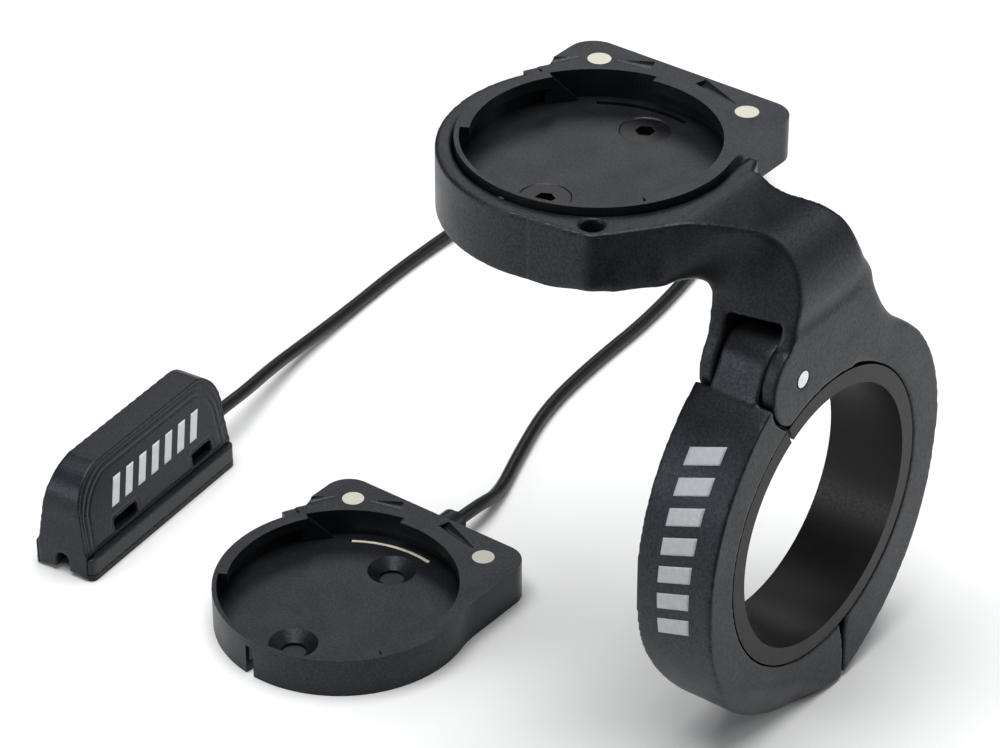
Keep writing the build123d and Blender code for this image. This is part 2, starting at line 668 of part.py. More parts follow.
def make_cord_tie():
    """Strap round the coil's turns, with its buckle on the outside."""
    inner, outer, bottom, height = coil_bounds()
    thick = TIE_THICKNESS
    inner = inner - 0.2
    width = outer - inner
    loop = Box(width + 2 * thick, TIE_WIDTH, height + 2 * thick, align=LOW)
    loop = loop - Pos(0, 0, thick) * Box(width, 2 * TIE_WIDTH, height, align=LOW)
    buckle = Pos(width / 2 + thick + 0.9, 0, 2.2) * Box(1.8, TIE_WIDTH + 0.9, 2.6, align=LOW)
    return Pos(COIL_X + (inner + outer) / 2, COIL_Y, bottom - thick) * (loop + buckle)


# ---------------------------------------------------------------- assembly

def placed(parts, place):
    """The same placement for one solid or a group of them."""
    if isinstance(parts, list):
        return Compound(children=[place * part for part in parts])
    return place * parts


MOUNT_CRADLE = Pos(CRADLE_X, CRADLE_Y, CRADLE_TOP)
WIRED_CRADLE = Pos(WIRED_X, WIRED_Y, FLOOR_Z + CRADLE_THICKNESS)
SENSOR = Pos(SENSOR_X, SENSOR_Y, FLOOR_Z) * Rot(0, 0, SENSOR_YAW)


def sensor_placed(part):
    """A piece of the sensor at its full size, on the floor beside the cradle."""
    enlarged = scale(part, SENSOR_SCALE)
    return SENSOR * Pos(part.position * (SENSOR_SCALE - 1)) * enlarged


nodes = {
    "arm_body": make_arm_body(),
    "mount_cradle": placed(make_cradle(False), MOUNT_CRADLE),
    "mount_cradle_cover": placed(make_cradle_cover(), MOUNT_CRADLE),
    "mount_contacts": placed(make_contacts(), MOUNT_CRADLE),
    "cradle_screws": placed(make_cradle_screws(), MOUNT_CRADLE),
    "platform_inserts": placed(make_platform_inserts(), MOUNT_CRADLE),
    "hinge_pin": cross_pin(PIN_X, PIN_Z, PIN_RADIUS, CLAMP_WIDTH),
    "clamp_sleeve": make_clamp_sleeve(),
    "clamp_nut": make_clamp_nut(),
    "clamp_jaw": make_clamp_jaw(),
    "clamp_washer": make_clamp_washer(),
    "clamp_screw": make_clamp_screw(),
    "wired_cradle": placed(make_cradle(True), WIRED_CRADLE),
    "wired_cradle_cover": placed(make_cradle_cover(), WIRED_CRADLE),
    "wired_contacts": placed(make_contacts(), WIRED_CRADLE),
    "contact_leaves": placed(make_contact_leaves(), WIRED_CRADLE),
    "contact_carrier": placed(make_contact_carrier(), WIRED_CRADLE),
    "cable_cores": placed(make_cable_cores(), WIRED_CRADLE),
    "cradle_grommet": placed(make_cradle_grommet(), WIRED_CRADLE),
    "sensor_housing": sensor_placed(make_sensor_housing()),
    "sensor_base": sensor_placed(make_sensor_base()),
    "sensor_pad": sensor_placed(make_sensor_pad()),
    "sensor_board": sensor_placed(make_sensor_board()),
    "reed_switch": sensor_placed(make_reed_switch()),
    "sensor_potting": sensor_placed(make_sensor_potting()),
    "sensor_grommet": sensor_placed(make_sensor_grommet()),
    "cord_cradle_lead": make_cord(CRADLE_LEAD, "cradle lead"),
    "cord_sensor_lead": make_cord(SENSOR_LEAD, "sensor lead"),
    "cord_coil": make_cord_coil(),
    "cord_tie": make_cord_tie(),
}

os.makedirs("parts", exist_ok=True)
for name, shape in nodes.items():
    export_step(shape, f"parts/{name}.step")
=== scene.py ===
import json
from math import atan2, cos, degrees, exp, hypot, pi, radians, sin

import bpy
from mathutils import Matrix, Vector
from mathutils.bvhtree import BVHTree
from mathutils.kdtree import KDTree

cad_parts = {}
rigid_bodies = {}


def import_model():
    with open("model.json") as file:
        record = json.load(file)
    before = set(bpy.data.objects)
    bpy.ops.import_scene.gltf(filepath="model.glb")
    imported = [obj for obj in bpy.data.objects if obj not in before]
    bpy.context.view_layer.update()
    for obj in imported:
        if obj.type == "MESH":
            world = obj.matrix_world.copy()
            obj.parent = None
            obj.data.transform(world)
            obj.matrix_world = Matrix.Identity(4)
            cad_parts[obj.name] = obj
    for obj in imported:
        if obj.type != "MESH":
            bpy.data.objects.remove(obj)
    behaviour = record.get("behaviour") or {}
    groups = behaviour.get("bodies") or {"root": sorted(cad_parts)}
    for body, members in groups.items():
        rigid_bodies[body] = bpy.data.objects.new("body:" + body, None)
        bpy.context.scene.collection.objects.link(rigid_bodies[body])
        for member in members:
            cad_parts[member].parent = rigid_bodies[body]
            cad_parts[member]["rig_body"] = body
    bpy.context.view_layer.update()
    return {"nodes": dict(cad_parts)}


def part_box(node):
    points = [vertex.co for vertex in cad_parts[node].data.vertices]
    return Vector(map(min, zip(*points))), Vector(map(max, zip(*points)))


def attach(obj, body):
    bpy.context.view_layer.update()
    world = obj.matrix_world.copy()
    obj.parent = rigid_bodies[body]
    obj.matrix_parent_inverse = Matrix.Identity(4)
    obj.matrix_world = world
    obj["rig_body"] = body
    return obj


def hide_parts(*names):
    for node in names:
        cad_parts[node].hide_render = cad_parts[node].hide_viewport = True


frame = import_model()
nodes = frame["nodes"]

MM = 0.001
FLOOR_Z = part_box("wired_cradle")[0][2]


def link(thing):
    """Puts a new object in the scene."""
    bpy.context.scene.collection.objects.link(thing)
    return thing


# ---------------------------------------------------------------- camera

VIEW_AZIMUTH = -142.45       # from the object to the camera, counted from +X
VIEW_ELEVATION = 33.0
VIEW_DISTANCE = 0.446
VIEW_TARGET = Vector((-0.01365, 0.03054, 0.01192))
LENS_MM = 142.5
FILM_WIDTH_MM = 36.0


def make_camera():
    """Long lens, looking down on the set from its left."""
    data = bpy.data.cameras.new("view_camera")
    data.lens = LENS_MM
    data.sensor_width = FILM_WIDTH_MM
    data.clip_start = 0.01
    data.clip_end = 20.0
    camera = link(bpy.data.objects.new("view_camera", data))
    turn, lift = radians(VIEW_AZIMUTH), radians(VIEW_ELEVATION)
    out = Vector((cos(lift) * cos(turn), cos(lift) * sin(turn), sin(lift)))
    camera.location = VIEW_TARGET + VIEW_DISTANCE * out
    camera.rotation_euler = (-out).to_track_quat("-Z", "Y").to_euler()
    bpy.context.scene.camera = camera


make_camera()

# ---------------------------------------------------------------- cord

CORD_RADIUS = 0.85 * MM
CORD_Z = (FLOOR_Z + CORD_RADIUS) / MM
CRADLE_LEAD = [              # millimetres in the row frame, from the cradle to the coil
    (0.4, 47.8, -23.4),
    (4.6, 47.8, -23.4),
    (10.0, 48.9, CORD_Z),
    (18.5, 52.3, CORD_Z),
    (29.0, 55.9, CORD_Z),
    (41.0, 57.4, CORD_Z),
    (53.0, 58.0, CORD_Z),
    (64.0, 59.6, CORD_Z),
    (76.0, 62.2, CORD_Z),
    (86.0, 64.9, -24.75),
]
SENSOR_LEAD = [              # the same, from the sensor to the coil
    (-3.24, 84.58, -21.48),
    (0.6, 85.0, -21.5),
    (4.8, 85.8, -22.1),
    (12.6, 87.9, -23.3),
    (20.8, 89.6, -24.6),
    (32.0, 91.0, CORD_Z),
    (44.0, 92.2, CORD_Z),
    (56.0, 92.6, CORD_Z),
    (66.0, 91.6, -24.0),
    (76.0, 89.2, -21.2),
    (86.0, 87.1, -19.65),
]
COIL_COLUMNS = 3
COIL_LAYERS = 4
COIL_STEPS = 18              # points to a turn
COIL_SHIFT = 5               # of them, the last ones, that cross to the next turn
COIL_START = -pi / 2         # where each turn starts


def coil_points():
    """Turns of the put-away length: out to in, then back out one layer higher."""
    low, high = (Vector(corner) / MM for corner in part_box("cord_coil"))
    diameter = 2 * CORD_RADIUS / MM
    centre = (low + high) / 2
    outer = (high.x - low.x - diameter) / 2
    columns = [outer - diameter * i for i in range(COIL_COLUMNS)]
    order = (columns + columns[::-1]) * (COIL_LAYERS // 2)
    seats = [(radius, low.z + diameter / 2 + diameter * (i // COIL_COLUMNS))
             for i, radius in enumerate(order)]

    def on_turn(radius, index, z):
        angle = COIL_START + 2 * pi * index / COIL_STEPS
        return (centre.x + radius * cos(angle), centre.y + radius * sin(angle), z)

    points = []
    for (radius, z), (next_radius, next_z) in zip(seats, seats[1:]):
        for index in range(COIL_STEPS):
            share = max(0.0, (index - COIL_STEPS + COIL_SHIFT) / COIL_SHIFT)
            points.append(on_turn(radius + (next_radius - radius) * share, index, z + (next_z - z) * share))
    radius, z = seats[-1]
    points += [on_turn(radius, index, z) for index in range(COIL_STEPS // 2)]
    return points[1:]


def make_cord():
    """The whole cord, from the wired cradle through the coil to the sensor."""
    route = CRADLE_LEAD + coil_points() + SENSOR_LEAD[::-1]
    data = bpy.data.curves.new("cord", "CURVE")
    data.dimensions = "3D"
    data.resolution_u = 5
    data.bevel_depth = CORD_RADIUS
    data.bevel_resolution = 4
    data.use_fill_caps = True
    data.materials.append(bpy.data.materials.new("cord_rubber"))
    spline = data.splines.new("NURBS")
    spline.points.add(len(route) - 1)
    for point, place in zip(spline.points, route):
        point.co = (*(MM * value for value in place), 1.0)
    spline.order_u = 3
    spline.use_endpoint_u = True
    cord = link(bpy.data.objects.new("cord", data))
    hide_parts("cord_cradle_lead", "cord_coil", "cord_sensor_lead")
    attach(cord, "wired_set")
    [MM * value for value in CRADLE_LEAD[0]]


make_cord()

# ---------------------------------------------------------------- materials

TEXTURE_LOW = 0.3            # the part of a noise texture's 0 to 1 that is used
TEXTURE_HIGH = 0.7
GLOSS_PATCH = 4.0 * MM       # size of the slow changes of gloss on a moulding
MOULD_LUMP = 1.6 * MM        # size of its faint unevenness
GRAIN_SHINE = (0.22, 0.48)   # specular level of the grain's pits and tops
COOL_SHINE = (0.76, 0.87, 1.0, 1)


def node_tree(name):
    """Material with its tree, shader and object coordinates."""
    material = bpy.data.materials.get(name) or bpy.data.materials.new(name)
    material.use_nodes = True
    tree = material.node_tree
    shader = tree.nodes["Principled BSDF"]
    place = tree.nodes.new("ShaderNodeTexCoord").outputs["Object"]
    return material, tree, shader, place


def noise(tree, place, size, detail=3.0, roughness=0.5):
    """Noise whose lumps are about one size, in metres."""
    texture = tree.nodes.new("ShaderNodeTexNoise")
    texture.inputs["Scale"].default_value = 1.0 / size
    texture.inputs["Detail"].default_value = detail
    texture.inputs["Roughness"].default_value = roughness
    tree.links.new(place, texture.inputs["Vector"])
    return texture.outputs["Fac"]


def spread(tree, value, low, high):
    """A 0 to 1 texture stretched between two values."""
    node = tree.nodes.new("ShaderNodeMapRange")
    node.inputs["From Min"].default_value = TEXTURE_LOW
    node.inputs["From Max"].default_value = TEXTURE_HIGH
    node.inputs["To Min"].default_value = low
    node.inputs["To Max"].default_value = high
    tree.links.new(value, node.inputs["Value"])
    return node.outputs["Result"]


def two_colours(tree, value, dark, light):
    """Colour between two, by a 0 to 1 value."""
    ramp = tree.nodes.new("ShaderNodeValToRGB")
    stops = ramp.color_ramp.elements
    for stop, position, colour in zip(stops, (TEXTURE_LOW, TEXTURE_HIGH), (dark, light)):
        stop.position = position
        stop.color = (*colour, 1)
    tree.links.new(value, ramp.inputs["Fac"])
    return ramp.outputs["Color"]


def bump(tree, shader, layers):
    """Stacks bump layers of (height, strength, depth in metres)."""
    before = None
    for height, strength, depth in layers:
        node = tree.nodes.new("ShaderNodeBump")
        node.inputs["Strength"].default_value = strength
        node.inputs["Distance"].default_value = depth
        tree.links.new(height, node.inputs["Height"])
        if before:
            tree.links.new(before, node.inputs["Normal"])
        before = node.outputs["Normal"]
    tree.links.new(before, shader.inputs["Normal"])


def moulded_plastic(name, dark, light, rough, grain, depth):
    """Spark-textured moulded plastic: fine even grain and a slow change of gloss."""
    material, tree, shader, place = node_tree(name)
    fine = noise(tree, place, grain, 2.0, 0.6)
    slow = noise(tree, place, GLOSS_PATCH)
    uneven = noise(tree, place, MOULD_LUMP, 2.0)
    tree.links.new(two_colours(tree, slow, dark, light), shader.inputs["Base Color"])
    tree.links.new(spread(tree, slow, rough - 0.04, rough + 0.05), shader.inputs["Roughness"])
    tree.links.new(spread(tree, fine, *GRAIN_SHINE), shader.inputs["Specular IOR Level"])
    shader.inputs["Specular Tint"].default_value = COOL_SHINE
    bump(tree, shader, [(fine, 0.9, depth), (uneven, 0.15, 2.0e-5)])
    return material


def soft_rubber(name, dark, light, rough, grain):
    """Matt rubber with faint pores."""
    material, tree, shader, place = node_tree(name)
    fine = noise(tree, place, grain, 4.0, 0.65)
    tree.links.new(two_colours(tree, fine, dark, light), shader.inputs["Base Color"])
    tree.links.new(spread(tree, fine, rough - 0.06, rough + 0.08), shader.inputs["Roughness"])
    shader.inputs["Specular IOR Level"].default_value = 0.25
    bump(tree, shader, [(fine, 0.5, 1.0e-5)])
    return material


def metal(name, dark, light, rough, metallic=1.0):
    """Plated or blackened metal with fine mottling."""
    material, tree, shader, place = node_tree(name)
    fine = noise(tree, place, 0.4 * MM, 4.0, 0.6)
    tree.links.new(two_colours(tree, fine, dark, light), shader.inputs["Base Color"])
    tree.links.new(spread(tree, fine, rough - 0.05, rough + 0.07), shader.inputs["Roughness"])
    shader.inputs["Metallic"].default_value = metallic
    bump(tree, shader, [(fine, 0.35, 0.6e-5)])
    return material


def plain_filler(name, dark, light, rough):
    """Small inner piece or print: mottled colour and a little unevenness."""
    material, tree, shader, place = node_tree(name)
    fine = noise(tree, place, 0.6 * MM, 4.0)
    tree.links.new(two_colours(tree, fine, dark, light), shader.inputs["Base Color"])
    tree.links.new(spread(tree, fine, rough - 0.05, rough + 0.05), shader.inputs["Roughness"])
    bump(tree, shader, [(fine, 0.4, 1.0e-5)])
    return material


def clear_glass(name, dark, light):
    """Faintly tinted glass tube."""
    material, tree, shader, place = node_tree(name)
    fine = noise(tree, place, 2.0 * MM, 2.0)
    tree.links.new(two_colours(tree, fine, dark, light), shader.inputs["Base Color"])
    tree.links.new(spread(tree, fine, 0.03, 0.09), shader.inputs["Roughness"])
    shader.inputs["Transmission Weight"].default_value = 0.9
    bump(tree, shader, [(fine, 0.1, 1.0e-5)])
    return material


MATERIALS = {
    "arm": moulded_plastic("arm_plastic", (0.0058, 0.0062, 0.0074), (0.0095, 0.0100, 0.0120),
                           rough=0.40, grain=0.30 * MM, depth=0.030 * MM),
    "cradle": moulded_plastic("cradle_plastic", (0.0050, 0.0054, 0.0064), (0.0080, 0.0085, 0.0100),
                              rough=0.37, grain=0.22 * MM, depth=0.009 * MM),
    "sensor": moulded_plastic("sensor_plastic", (0.0060, 0.0066, 0.0078), (0.0100, 0.0108, 0.0125),
                              rough=0.36, grain=0.22 * MM, depth=0.016 * MM),
    "sleeve": soft_rubber("sleeve_rubber", (0.0045, 0.0047, 0.0052), (0.0065, 0.0068, 0.0075),
                          rough=0.40, grain=0.3 * MM),
    "grommet": soft_rubber("grommet_rubber", (0.006, 0.006, 0.007), (0.009, 0.009, 0.010),
                           rough=0.42, grain=0.2 * MM),
    "cord": soft_rubber("cord_rubber", (0.006, 0.0064, 0.0072), (0.009, 0.0095, 0.0105),
                        rough=0.34, grain=0.5 * MM),
    "tie": soft_rubber("tie_strap", (0.012, 0.012, 0.013), (0.020, 0.020, 0.022),
                       rough=0.6, grain=0.3 * MM),
    "contact": metal("contact_metal", (0.50, 0.48, 0.40), (0.57, 0.55, 0.47), rough=0.45, metallic=0.0),
    "black_steel": metal("black_steel", (0.010, 0.010, 0.011), (0.018, 0.018, 0.020),
                         rough=0.30, metallic=0.7),
    "bright_steel": metal("bright_steel", (0.62, 0.63, 0.65), (0.80, 0.81, 0.83), rough=0.28),
    "brass": metal("brass", (0.62, 0.47, 0.20), (0.75, 0.58, 0.28), rough=0.30),
    "strip": plain_filler("carrier_strip", (0.52, 0.49, 0.37), (0.66, 0.63, 0.50), rough=0.45),
    "core": plain_filler("core_insulation", (0.42, 0.05, 0.04), (0.55, 0.08, 0.06), rough=0.5),
    "board": plain_filler("circuit_board", (0.02, 0.12, 0.05), (0.03, 0.18, 0.08), rough=0.35),
    "resin": plain_filler("resin", (0.03, 0.03, 0.03), (0.05, 0.05, 0.05), rough=0.2),
    "glass": clear_glass("reed_glass", (0.74, 0.84, 0.79), (0.80, 0.88, 0.84)),
    "mark_grey": plain_filler("printed_grey", (0.40, 0.41, 0.44), (0.48, 0.49, 0.52), rough=0.5),
    "mark_white": plain_filler("printed_white", (0.78, 0.79, 0.80), (0.86, 0.87, 0.88), rough=0.5),
}
NODES_BY_MATERIAL = {
    "arm": ("arm_body", "clamp_jaw"),
    "sleeve": ("clamp_sleeve", "sensor_pad"),
    "bright_steel": ("hinge_pin", "clamp_nut", "clamp_washer"),
    "black_steel": ("clamp_screw", "cradle_screws"),
    "cradle": ("mount_cradle", "mount_cradle_cover", "wired_cradle", "wired_cradle_cover"),
    "contact": ("mount_contacts", "wired_contacts"),
    "brass": ("platform_inserts", "contact_leaves"),
    "strip": ("contact_carrier",),
    "core": ("cable_cores",),
    "grommet": ("cradle_grommet", "sensor_grommet"),
    "sensor": ("sensor_housing", "sensor_base"),
    "board": ("sensor_board",),
    "glass": ("reed_switch",),
    "resin": ("sensor_potting",),
    "cord": ("cord_cradle_lead", "cord_sensor_lead", "cord_coil"),
    "tie": ("cord_tie",),
}


def paint(piece, key):
    """Gives a piece one of the materials, on every slot."""
    piece.data.materials.clear()
    piece.data.materials.append(MATERIALS[key])


for key, names in NODES_BY_MATERIAL.items():
    for name in names:
        paint(nodes[name], key)

# ---------------------------------------------------------------- pieces made from CAD nodes

def new_piece(name, mesh, body, key):
    """Smooth-shaded object in the row frame that rides on a body."""
    piece = link(bpy.data.objects.new(name, mesh))
    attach(piece, body)
    paint(piece, key)
    for face in mesh.polygons:
        face.use_smooth = True
    return piece


def applied(helper):
    """Mesh of a helper object with its modifiers applied; the helper goes."""
    result = bpy.data.meshes.new_from_object(helper.evaluated_get(bpy.context.evaluated_depsgraph_get()))
    bpy.data.objects.remove(helper)
    return result


def relaxed(mesh, passes, weights=None):
    """Mesh after rounds of smoothing, all over or by a weight for each vertex."""
    helper = link(bpy.data.objects.new("helper", mesh))
    smooth = helper.modifiers.new("smooth", "SMOOTH")
    smooth.iterations = passes
    if weights is not None:
        group = helper.vertex_groups.new(name="soft")
        for index, weight in enumerate(weights):
            group.add([index], weight, "REPLACE")
        smooth.vertex_group = "soft"
    return applied(helper)


def fine_skin(node, voxel):
    """Even, fine mesh over a CAD node."""
    helper = link(bpy.data.objects.new("helper", nodes[node].data.copy()))
    remesh = helper.modifiers.new("skin", "REMESH")
    remesh.mode = "VOXEL"
    remesh.voxel_size = voxel
    return applied(helper)


def rounded(name, node, voxel, passes, key, carve=None, soft=None, soft_passes=0):
    """Stands for a CAD node, with its edges rounded as a moulding's are."""
    mesh = relaxed(fine_skin(node, voxel), passes)
    if carve:
        carve(mesh)
    if soft:
        mesh = relaxed(mesh, soft_passes, [soft(vertex.co) for vertex in mesh.vertices])
    mesh.name = name
    piece = new_piece(name, mesh, nodes[node]["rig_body"], key)
    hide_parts(node)
    return piece


def step(value, start, end):
    """0 before start, 1 after end, smooth between."""
    share = min(1.0, max(0.0, (value - start) / (end - start)))
    return share * share * (3 - 2 * share)


CRESCENT_START = (-158, -116)        # degrees round the ring: the crescent fades in between these
CRESCENT_END = (-100, -78)           # and out between these
CRESCENT_WIDTH = 4.2 * MM            # how far in from the rim it starts to lean
CRESCENT_LEAN = 0.34                 # share of the half width that is gone at the rim
CRESCENT_CURVE = 1.4
RIM_SECTOR = 2                       # degrees of ring that share one rim radius
SCREW_POINT = Vector((4.904, 0.0, -21.241)) * MM
SCREW_LINE = Vector((-0.968272, 0.0, -0.249898))
SCREW_ROOM = 0.16 * MM


def ring_angle(point):
    """Angle round the bar axis, in degrees, from +X towards +Z."""
    return degrees(atan2(point.z, point.x))


def jaw_share(point):
    """How strongly the jaw's edge leans in, 0 to 1: a crescent under the ring."""
    angle = ring_angle(point)
    if angle > 0:
        angle -= 360
    return step(angle, *CRESCENT_START) * (1 - step(angle, *CRESCENT_END))


def hollow_crescent(mesh):
    """Leans both side faces in towards the lower outer edge of the jaw."""
    rims = {}
    for vertex in mesh.vertices:
        sector = round(ring_angle(vertex.co) / RIM_SECTOR)
        rims[sector] = max(rims.get(sector, 0.0), hypot(vertex.co.x, vertex.co.z))
    for vertex in mesh.vertices:
        share = jaw_share(vertex.co)
        if share < 0.02:
            continue
        rim = rims[round(ring_angle(vertex.co) / RIM_SECTOR)]
        inset = rim - hypot(vertex.co.x, vertex.co.z)
        lean = max(0.0, 1 - inset / (CRESCENT_WIDTH * share)) ** CRESCENT_CURVE
        vertex.co.y *= 1 - CRESCENT_LEAN * share * lean


def room_for_screw(mesh):
    """Widens the jaw's shell round the screw's line. The screw still touches it when backed right out."""
    for vertex in mesh.vertices:
        away = vertex.co - SCREW_POINT
        away -= away.dot(SCREW_LINE) * SCREW_LINE
        share = 1 - step(away.length, 3.3 * MM, 4.2 * MM)
        vertex.co += away.normalized() * SCREW_ROOM * share


def jaw_carve(mesh):
    """The crescent and the screw's hole."""
    hollow_crescent(mesh)
    room_for_screw(mesh)


def jaw_softness(point):
    """Where the crescent runs softly into the side faces."""
    outside = step(hypot(point.x, point.z), 19.0 * MM, 20.5 * MM)
    return jaw_share(point) * outside * step(abs(point.y), 3.0 * MM, 4.0 * MM)


ARM_JOIN = Vector((-16.5, 6.5, 36.0)) * MM       # where the neck meets the platform's underside
ARM_CORNER = Vector((-23.4, 11.3)) * MM          # the platform's corner beside the cord hole
CRADLE_CENTRE = Vector((-6.7, 22.7)) * MM


def arm_softness(point):
    """The arm flows into the platform, round the corner under the cord hole and up the neck."""
    flat = Vector((point.x, point.y))
    below = 1 - step(point.z, 39.6 * MM, 41.0 * MM)
    join = 1 - step((point - ARM_JOIN).length, 5.0 * MM, 9.0 * MM)
    corner = 1 - step((flat - ARM_CORNER).length, 1.6 * MM, 5.0 * MM)
    back = step(point.x, 3.5 * MM, 6.0 * MM) * step(point.z, 15.0 * MM, 21.0 * MM)
    clear = step((flat - CRADLE_CENTRE).length, 18.0 * MM, 20.0 * MM)
    return max(max(join, corner) * below, back * clear)


def crisp_edges(node, width, segments):
    """Small bevel on a CAD node's edges."""
    piece = nodes[node]
    bevel = piece.modifiers.new("edges", "BEVEL")
    bevel.width = width
    bevel.segments = segments
    bevel.limit_method = "ANGLE"
    bevel.angle_limit = radians(35)
    bevel.use_clamp_overlap = True
    bevel.harden_normals = False
    weighted = piece.modifiers.new("shading", "WEIGHTED_NORMAL")
    weighted.keep_sharp = True


MOULDING_VOXEL = 0.25 * MM
SENSOR_VOXEL = 0.16 * MM
EDGES = {                    # node: bevel width in millimetres and segments
    "mount_cradle": (0.13, 2),
    "wired_cradle": (0.13, 2),
    "clamp_sleeve": (0.35, 3),
    "cradle_screws": (0.10, 2),
    "clamp_screw": (0.15, 2),
    "clamp_washer": (0.08, 2),
    "hinge_pin": (0.15, 2),
    "mount_contacts": (0.08, 2),
    "wired_contacts": (0.08, 2),
    "cradle_grommet": (0.12, 2),
    "sensor_grommet": (0.12, 2),
    "sensor_pad": (0.12, 2),
}

jaw = rounded("jaw_shell", "clamp_jaw", MOULDING_VOXEL, 5, "arm",
              jaw_carve, jaw_softness, 12)
rounded("arm_shell", "arm_body", MOULDING_VOXEL, 10, "arm",
        soft=arm_softness, soft_passes=150)
for node, (width, segments) in EDGES.items():
    crisp_edges(node, width * MM, segments)

# ---------------------------------------------------------------- sensor

SENSOR_YAW = radians(6.0)
GROOVE_INSET = 0.40 * MM     # from the side's outline
GROOVE_WIDTH = 0.16 * MM
GROOVE_DEPTH = 0.08 * MM
GROOVE_CLEAR = 1.6 * MM      # nothing nearer the sensor's middle plane is pressed in


def sensor_place():
    """Matrix from the sensor's own axes, centred on its base, to the row frame."""
    low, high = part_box("sensor_pad")
    middle = (Vector(low) + Vector(high)) / 2
    return Matrix.Translation((middle.x, middle.y, FLOOR_Z)) @ Matrix.Rotation(SENSOR_YAW, 4, "Z")


def groove_sides(mesh):
    """Presses a groove into both side faces, a fixed way in from their outline."""
    back = sensor_place()
    home = back.inverted()
    turn = home.to_3x3()
    spots = [home @ vertex.co for vertex in mesh.vertices]
    leans = [abs((turn @ vertex.normal).y) for vertex in mesh.vertices]
    outline = [spot for spot, lean in zip(spots, leans) if lean < 0.6]
    tree = KDTree(len(outline))
    for index, spot in enumerate(outline):
        tree.insert((spot.x, 0, spot.z), index)
    tree.balance()
    for vertex, spot, lean in zip(mesh.vertices, spots, leans):
        if lean < 0.8 or abs(spot.y) < GROOVE_CLEAR:
            continue
        inset = tree.find((spot.x, 0, spot.z))[2]
        push = GROOVE_DEPTH * exp(-((inset - GROOVE_INSET) / GROOVE_WIDTH) ** 2)
        side = 1 if spot.y > 0 else -1
        vertex.co = back @ Vector((spot.x, spot.y - side * push, spot.z))


housing = rounded("sensor_shell", "sensor_housing", SENSOR_VOXEL, 3, "sensor")
groove_sides(housing.data)
rounded("sensor_foot", "sensor_base", SENSOR_VOXEL, 3, "sensor")

# ---------------------------------------------------------------- printed marks

INK_TOP = 0.035 * MM         # above the shell
INK_ROOT = -0.05 * MM        # below it
BARS = 7
BAR_SLANT = 0.35
BAR_STEPS = 10
JAW_BAND_RADIUS = 22.6 * MM
JAW_MARK_ANGLE = radians(165)
SENSOR_MARK_MIDDLE = Vector((0.6, 8.7)) * MM     # along the sensor, and up from the floor


def laid_on(name, grids, shell, aim, body, key):
    """Thin printed shapes on a shell. Each is a grid of points, dropped along aim(point)."""
    tree = BVHTree.FromPolygons([vertex.co for vertex in shell.data.vertices],
                                [face.vertices for face in shell.data.polygons])
    points, faces = [], []
    for grid in grids:
        start = len(points)
        rows, columns = len(grid), len(grid[0])
        for height in (INK_TOP, INK_ROOT):
            for row in grid:
                for point in row:
                    hit, normal = tree.ray_cast(point, aim(point))[:2]
                    points.append(hit + normal * height)
        under = rows * columns
        for i in range(rows - 1):
            for j in range(columns - 1):
                a = start + i * columns + j
                b, c, d = a + 1, a + columns + 1, a + columns
                faces.append((a, b, c, d))
                faces.append((a + under, d + under, c + under, b + under))
        rim = [start + j for j in range(columns)]
        rim += [start + i * columns + columns - 1 for i in range(1, rows)]
        rim += [start + (rows - 1) * columns + j for j in range(columns - 2, -1, -1)]
        rim += [start + i * columns for i in range(rows - 2, 0, -1)]
        for one, two in zip(rim, rim[1:] + rim[:1]):
            faces.append((two, one, one + under, two + under))
    mesh = bpy.data.meshes.new(name)
    mesh.from_pydata(points, [], faces)
    mesh.validate()
    new_piece(name, mesh, body, key)


def slanted_bars(place, pitch, half_length, half_height):
    """Grids of a row of parallelograms: place(u, v) is a point, u along the row and v across it."""
    shares = [2 * i / BAR_STEPS - 1 for i in range(BAR_STEPS + 1)]
    grids = []
    for bar in range(BARS):
        middle = (bar - BARS // 2) * pitch
        grids.append([[place(middle + half_length * across + BAR_SLANT * half_height * up, half_height * up)
                       for across in shares] for up in shares])
    return grids


def jaw_mark():
    """Row of slanted bars round the jaw's outer band."""
    outside = 30 * MM

    def place(u, v):
        angle = JAW_MARK_ANGLE + u / JAW_BAND_RADIUS
        return Vector((outside * cos(angle), v, outside * sin(angle)))

    def aim(point):
        return Vector((-point.x, 0, -point.z)).normalized()

    grids = slanted_bars(place, 3.5 * MM, 1.05 * MM, 2.1 * MM)
    laid_on("jaw_mark", grids, jaw, aim, "clamp_jaw", "mark_grey")


def sensor_mark():
    """Smaller row of the same bars on the sensor's two sides."""
    home = sensor_place()
    outside = 8 * MM
    grids = []
    for side in (-1, 1):
        def place(u, v):
            return home @ Vector((u + SENSOR_MARK_MIDDLE.x, side * outside, SENSOR_MARK_MIDDLE.y + v))

        grids += slanted_bars(place, 2.7 * MM, 0.7 * MM, 1.75 * MM)

    def aim(point):
        side = 1 if (home.inverted() @ point).y > 0 else -1
        return home.to_3x3() @ Vector((0, -side, 0))

    laid_on("sensor_mark", grids, housing, aim, "wired_set", "mark_white")


jaw_mark()
sensor_mark()

# ---------------------------------------------------------------- stage

FLOOR_SIZE = 3.0             # half the side
FLOOR_DROP = 0.05 * MM       # the pieces do not lie in the floor's own plane
HOLE_DROP = 0.03 * MM
HOLE_RADIUS = 2.2 * MM
HOLE_DISTANCE = 9.2 * MM     # from the cradle's centre
CRADLE_RADIUS = 15.5 * MM
CIRCLE_STEPS = 24
STAGE_CENTRE = Vector((0.0, 0.03, 0.0))
SOFT_BOXES = {               # place, sides and power
    "top_box": ((-0.05, 0.05, 0.90), (0.8, 0.8), 11.0),
    "back_box": ((0.70, 0.52, 0.58), (0.5, 0.35), 0.9),
    "left_box": ((-0.95, 0.55, 0.35), (0.5, 0.35), 3.0),
    "right_box": ((0.75, -0.75, 0.55), (0.4, 0.4), 2.0),
}


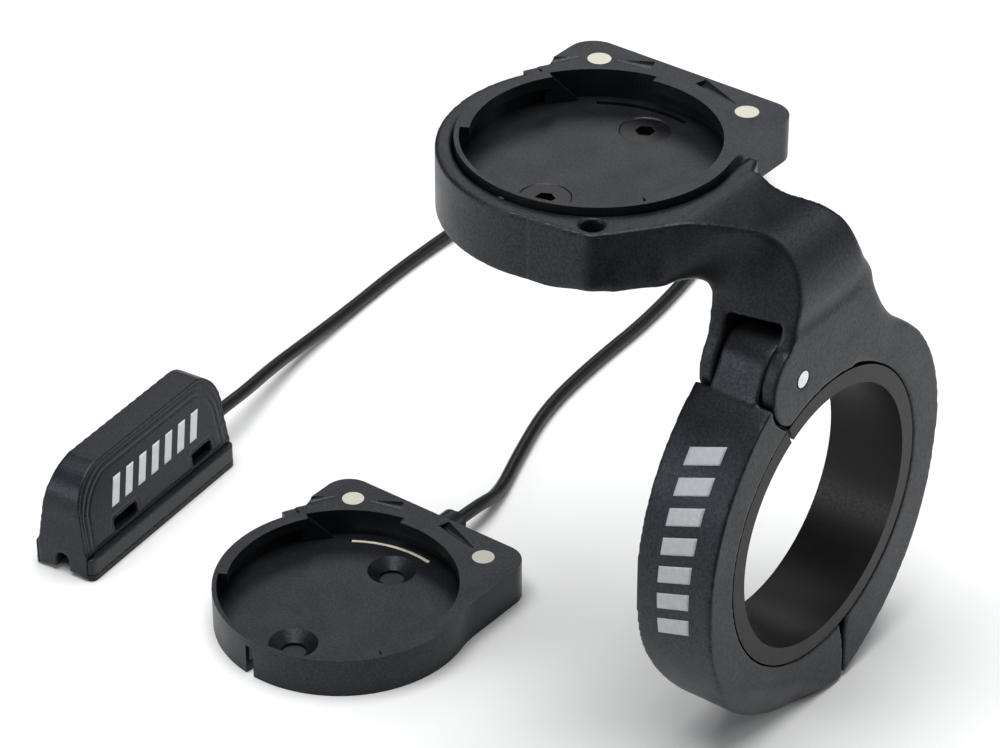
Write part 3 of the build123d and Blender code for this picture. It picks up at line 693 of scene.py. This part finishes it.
def staged_sheet(name, corners, material):
    """Flat sheet that belongs to the stage and not to the object."""
    mesh = bpy.data.meshes.new(name)
    mesh.from_pydata(corners, [], [tuple(range(len(corners)))])
    mesh.materials.append(material)
    sheet = link(bpy.data.objects.new(name, mesh))
    return sheet


def paper(name, size, dark, light, rough, detail=3.0):
    """Matt sheet with a faint mottle."""
    material, tree, shader, place = node_tree(name)
    mottle = noise(tree, place, size, detail)
    tree.links.new(two_colours(tree, mottle, dark, light), shader.inputs["Base Color"])
    shader.inputs["Roughness"].default_value = rough
    return material, shader


def make_floor():
    """Plain pale floor."""
    material, shader = paper("floor_pale", 50 * MM, (0.87, 0.87, 0.87), (0.89, 0.89, 0.89), 0.9, 2.0)
    shader.inputs["Specular IOR Level"].default_value = 0.2
    z = FLOOR_Z - FLOOR_DROP
    corners = [(-FLOOR_SIZE, -FLOOR_SIZE, z), (FLOOR_SIZE, -FLOOR_SIZE, z),
               (FLOOR_SIZE, FLOOR_SIZE, z), (-FLOOR_SIZE, FLOOR_SIZE, z)]
    staged_sheet("floor", corners, material)


def shade_under_holes():
    """The paper seen through the wired cradle's screw holes lies in shade."""
    low, high = (Vector(corner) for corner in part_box("wired_cradle"))
    material = paper("paper_shade", 1 * MM, (0.012, 0.013, 0.014), (0.02, 0.021, 0.023), 0.8)[0]
    angles = [2 * pi * i / CIRCLE_STEPS for i in range(CIRCLE_STEPS)]
    for side in (-1, 1):
        x = low.x + CRADLE_RADIUS + side * HOLE_DISTANCE
        y = (low.y + high.y) / 2
        ring = [(x + HOLE_RADIUS * cos(angle), y + HOLE_RADIUS * sin(angle), FLOOR_Z - HOLE_DROP)
                for angle in angles]
        staged_sheet("hole_shade", ring, material)


def soft_box(name, place, sides, power):
    """Rectangular soft light aimed at the middle of the set."""
    data = bpy.data.lights.new(name, "AREA")
    data.shape = "RECTANGLE"
    data.size, data.size_y = sides
    data.energy = power
    light = link(bpy.data.objects.new(name, data))
    light.location = place
    light.rotation_euler = (STAGE_CENTRE - Vector(place)).to_track_quat("-Z", "Y").to_euler()


def make_room():
    """Dim, slightly blue surroundings."""
    world = bpy.data.worlds.new("room")
    bpy.context.scene.world = world
    world.use_nodes = True
    background = world.node_tree.nodes["Background"]
    background.inputs["Color"].default_value = (0.90, 0.95, 1, 1)
    background.inputs["Strength"].default_value = 0.12


def dark_card():
    """Card beside the main picture that keeps the front walls dark. Other views show a black patch."""
    out = Vector((cos(radians(VIEW_AZIMUTH)), sin(radians(VIEW_AZIMUTH)), 0))
    along = Vector((-out.y, out.x, 0))
    start = Vector((-0.029, 0.019, FLOOR_Z + 0.2 * MM)) + 0.048 * out
    near, far, deep = -0.04 * along, 0.13 * along, 0.35 * out
    corners = [start + near, start + far, start + far + deep, start + near + deep]
    material = paper("card_black", 10 * MM, (0.008, 0.008, 0.008), (0.012, 0.012, 0.012), 0.9)[0]
    card = staged_sheet("dark_card", corners, material)
    card.visible_camera = False


make_floor()
shade_under_holes()
for name, (place, sides, power) in SOFT_BOXES.items():
    soft_box(name, place, sides, power)
make_room()
dark_card()
bpy.context.scene.view_settings.view_transform = "Standard"
